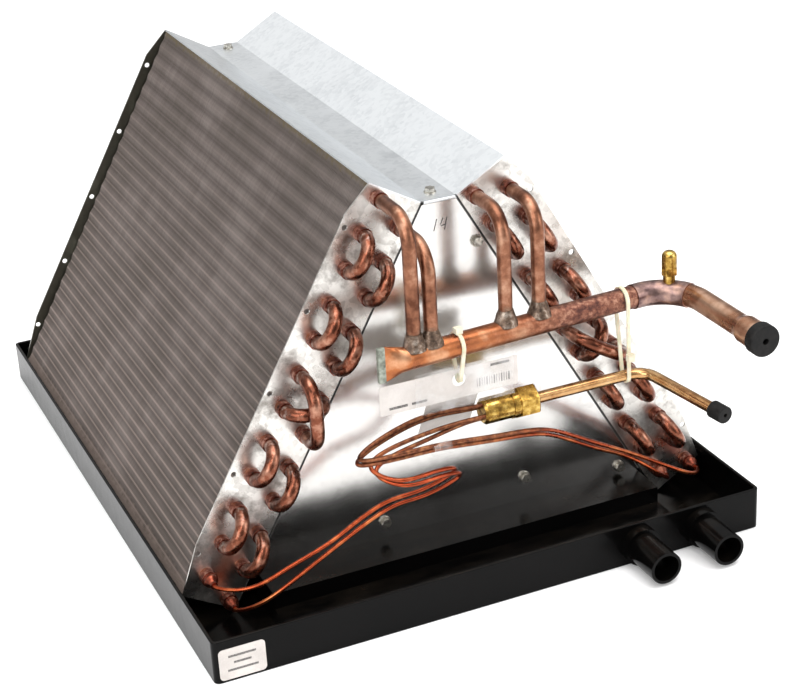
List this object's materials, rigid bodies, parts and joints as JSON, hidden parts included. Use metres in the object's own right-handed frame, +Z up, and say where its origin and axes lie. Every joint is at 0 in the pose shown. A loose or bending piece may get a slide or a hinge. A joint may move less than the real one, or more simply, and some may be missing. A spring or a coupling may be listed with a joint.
{
  "type": "a-coil evaporator",
  "caption": "Cased-furnace A-coil evaporator: two leaning finned copper slabs over a black drain pan, with suction header, distributor and capillaries.",
  "frame": {"origin": "centre of the drain pan's footprint, on its underside", "axes": "+Z up, -Y towards the pipe connections at the front, +X to the right seen from the front; metres in the row, millimetres in the STEP files"},
  "size_m": [0.412, 0.5915, 0.2888],
  "materials": {
    "pan_plastic": "glossy black moulded",
    "fin_aluminium": "dull rippled fin stock",
    "galvanised_steel": "galvanised sheet",
    "copper": null,
    "brass": "machined brass",
    "rubber": "matt black",
    "nylon": "natural nylon",
    "paper": "plain"
  },
  "bodies": {
    "root": {"blank_label": "paper", "cap_screws": "galvanised_steel", "distributor_body": "brass", "drain_pan": "pan_plastic", "flare_nut": "brass", "front_delta_plate": "galvanised_steel", "front_screws": "galvanised_steel", "header_tie": "nylon", "left_fin_pack": "fin_aluminium", "left_front_sheet": "galvanised_steel", "left_inlet_reducers": "copper", "left_inner_bends": "copper", "left_inner_capillary": "copper", "left_inner_feeder": "copper", "left_inner_hairpins": "copper", "left_long_crossover": "copper", "left_outer_bends": "copper", "left_outer_capillary": "copper", "left_outer_feeder": "copper", "left_outer_hairpins": "copper", "left_rear_sheet": "galvanised_steel", "left_short_crossover": "copper", "line_tie": "nylon", "liquid_cap": "rubber", "liquid_tube": "copper", "paper_tag": "paper", "rear_delta_plate": "galvanised_steel", "rear_screws": "galvanised_steel", "right_fin_pack": "fin_aluminium", "right_front_sheet": "galvanised_steel", "right_inlet_reducers": "copper", "right_inner_bends": "copper", "right_inner_capillary": "copper", "right_inner_feeder": "copper", "right_inner_hairpins": "copper", "right_long_crossover": "copper", "right_outer_bends": "copper", "right_outer_capillary": "copper", "right_outer_feeder": "copper", "right_outer_hairpins": "copper", "right_rear_sheet": "galvanised_steel", "right_short_crossover": "copper", "service_tee": "copper", "service_valve": "copper", "suction_header": "copper", "suction_outlet": "copper", "suction_plug": "rubber", "top_cap": "galvanised_steel", "valve_cap": "brass"}
  },
  "joints": []
}
